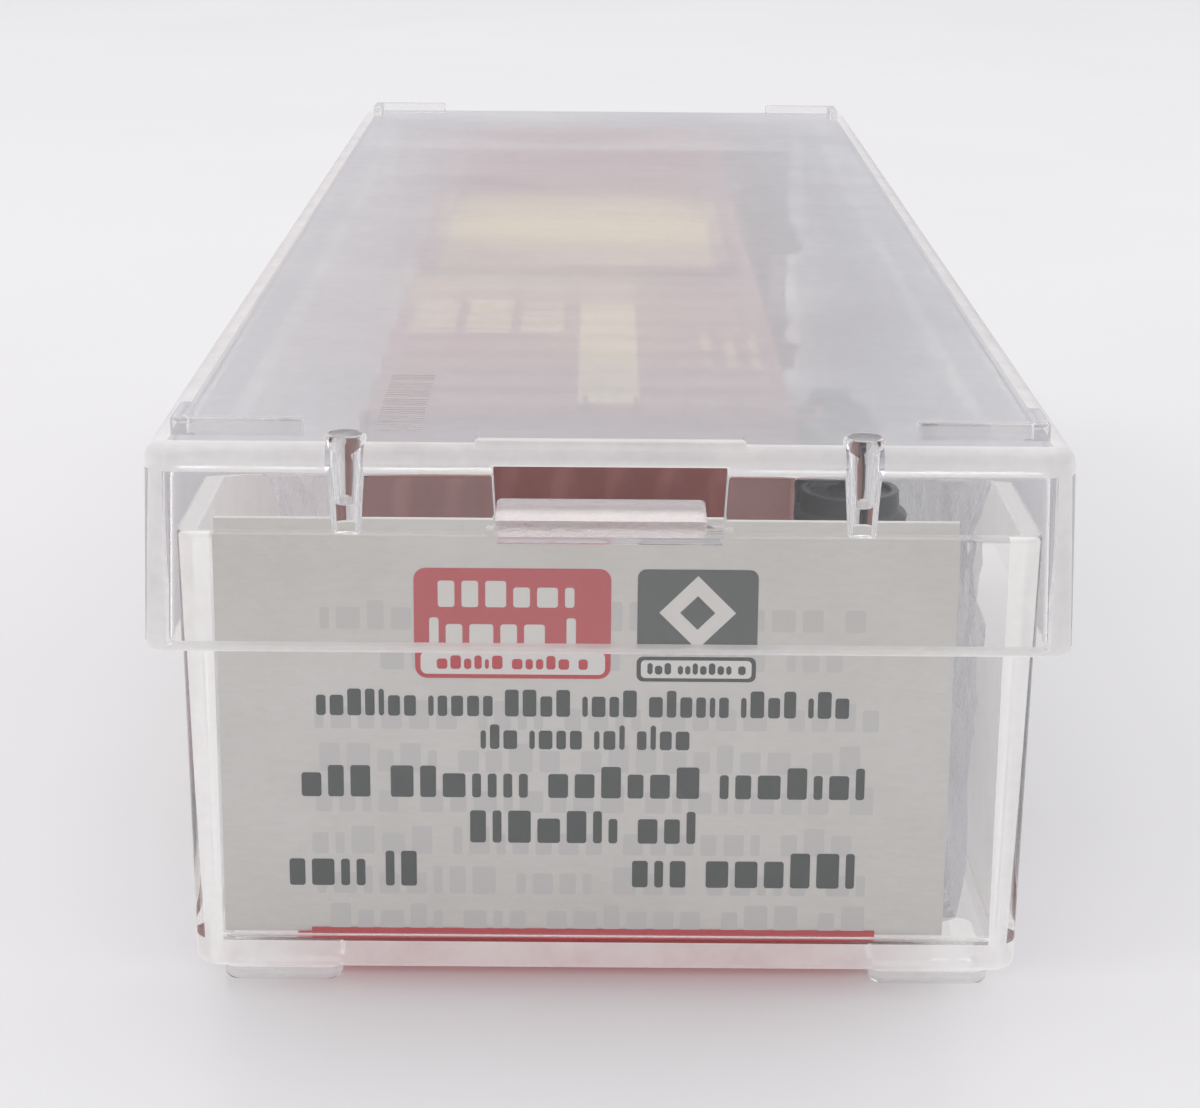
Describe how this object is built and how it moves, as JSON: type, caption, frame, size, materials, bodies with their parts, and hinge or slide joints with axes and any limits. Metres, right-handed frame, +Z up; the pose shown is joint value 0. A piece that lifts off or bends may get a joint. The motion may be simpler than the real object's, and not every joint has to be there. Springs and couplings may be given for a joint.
{
  "type": "boxed model box car",
  "caption": "Small-scale rib-side box car with sliding doors, swivelling trucks and sprung couplers, lying on its side in a clear hinged-lid display case with a printed card.",
  "frame": {"origin": "on the surface the case stands on, under the middle of the case", "axes": "+Y runs along the case away from its label end, +Z up through the lid, +X to the right as the label is read"},
  "size_m": [0.0422, 0.126, 0.0273],
  "materials": {
    "clear_polystyrene": "clear moulded polystyrene, polished, with light scuffs",
    "frosted_polystyrene": "clear polystyrene with a frosted, sparked surface",
    "printed_card": "uncoated pale grey card, printed in red and dark grey",
    "clear_film": "clear crumpled film",
    "maroon_paint": "maroon satin paint on moulded plastic",
    "yellow_paint": "pale yellow satin paint on moulded plastic",
    "slate_plastic": "dark slate engineering plastic",
    "steel": "plain steel",
    "bronze_wire": "fine bronze spring wire"
  },
  "bodies": {
    "case": {"case_base": "clear_polystyrene", "label_card": "printed_card", "film_cradle": "clear_film", "body_shell": "maroon_paint", "underframe": "slate_plastic", "weight": "steel", "brake_wheel": "maroon_paint", "bolster_pin_a": "steel", "bolster_pin_b": "steel"},
    "lid": {"case_lid": "clear_polystyrene"},
    "latch": {"latch_tongue": "frosted_polystyrene"},
    "door_upper": {"door_upper": "yellow_paint"},
    "door_lower": {"door_lower": "yellow_paint"},
    "truck_a": {"truck_frame_a": "slate_plastic", "coupler_lid_a": "slate_plastic"},
    "wheelset_a_inner": {"wheelset_a_inner": "slate_plastic"},
    "wheelset_a_outer": {"wheelset_a_outer": "slate_plastic"},
    "coupler_a": {"coupler_upper_a": "slate_plastic", "coupler_spring_a": "bronze_wire"},
    "coupler_jaw_a": {"coupler_lower_a": "slate_plastic", "trip_pin_a": "steel"},
    "truck_b": {"truck_frame_b": "slate_plastic", "coupler_lid_b": "slate_plastic"},
    "wheelset_b_inner": {"wheelset_b_inner": "slate_plastic"},
    "wheelset_b_outer": {"wheelset_b_outer": "slate_plastic"},
    "coupler_b": {"coupler_upper_b": "slate_plastic", "coupler_spring_b": "bronze_wire"},
    "coupler_jaw_b": {"coupler_lower_b": "slate_plastic", "trip_pin_b": "steel"}
  },
  "joints": [
    {"name": "lid_hinge", "type": "hinge", "parent": "case", "child": "lid", "pos_m": [0, 0.0603, 0.021], "axis": [-1, 0, 0], "range_deg": [0, 100]},
    {"name": "latch_flex", "type": "hinge", "parent": "case", "child": "latch", "pos_m": [-0.0004, -0.0609, 0.02225], "axis": [-1, 0, 0], "range_deg": [0, 15], "stiffness_Nm_per_rad": 0.001},
    {"name": "door_upper_slide", "type": "slide", "parent": "case", "child": "door_upper", "axis": [0, 1, 0], "range_m": [0, 0.018]},
    {"name": "door_lower_slide", "type": "slide", "parent": "case", "child": "door_lower", "axis": [0, -1, 0], "range_m": [0, 0.018]},
    {"name": "truck_a_swivel", "type": "hinge", "parent": "case", "child": "truck_a", "pos_m": [0.0102, -0.0359, 0.014], "axis": [-1, 0, 0], "range_deg": [-10, 10]},
    {"name": "wheelset_a_inner_spin", "type": "hinge", "parent": "truck_a", "child": "wheelset_a_inner", "pos_m": [0.01258, -0.0305, 0.014], "axis": [0, 0, 1], "continuous": true},
    {"name": "wheelset_a_outer_spin", "type": "hinge", "parent": "truck_a", "child": "wheelset_a_outer", "pos_m": [0.01258, -0.0413, 0.014], "axis": [0, 0, 1], "continuous": true},
    {"name": "coupler_a_swing", "type": "hinge", "parent": "truck_a", "child": "coupler_a", "pos_m": [0.01009, -0.0462, 0.014], "axis": [-1, 0, 0], "range_deg": [-12, 12], "stiffness_Nm_per_rad": 0.0005},
    {"name": "coupler_a_jaw", "type": "hinge", "parent": "coupler_a", "child": "coupler_jaw_a", "pos_m": [0.0104, -0.0462, 0.014], "axis": [1, 0, 0], "range_deg": [0, 8], "stiffness_Nm_per_rad": 0.0005},
    {"name": "truck_b_swivel", "type": "hinge", "parent": "case", "child": "truck_b", "pos_m": [0.0102, 0.0419, 0.014], "axis": [-1, 0, 0], "range_deg": [-10, 10]},
    {"name": "wheelset_b_inner_spin", "type": "hinge", "parent": "truck_b", "child": "wheelset_b_inner", "pos_m": [0.01258, 0.0365, 0.014], "axis": [0, 0, 1], "continuous": true},
    {"name": "wheelset_b_outer_spin", "type": "hinge", "parent": "truck_b", "child": "wheelset_b_outer", "pos_m": [0.01258, 0.0473, 0.014], "axis": [0, 0, 1], "continuous": true},
    {"name": "coupler_b_swing", "type": "hinge", "parent": "truck_b", "child": "coupler_b", "pos_m": [0.01009, 0.0522, 0.014], "axis": [-1, 0, 0], "range_deg": [-12, 12], "stiffness_Nm_per_rad": 0.0005},
    {"name": "coupler_b_jaw", "type": "hinge", "parent": "coupler_b", "child": "coupler_jaw_b", "pos_m": [0.0104, 0.0522, 0.014], "axis": [1, 0, 0], "range_deg": [0, 8], "stiffness_Nm_per_rad": 0.0005}
  ]
}
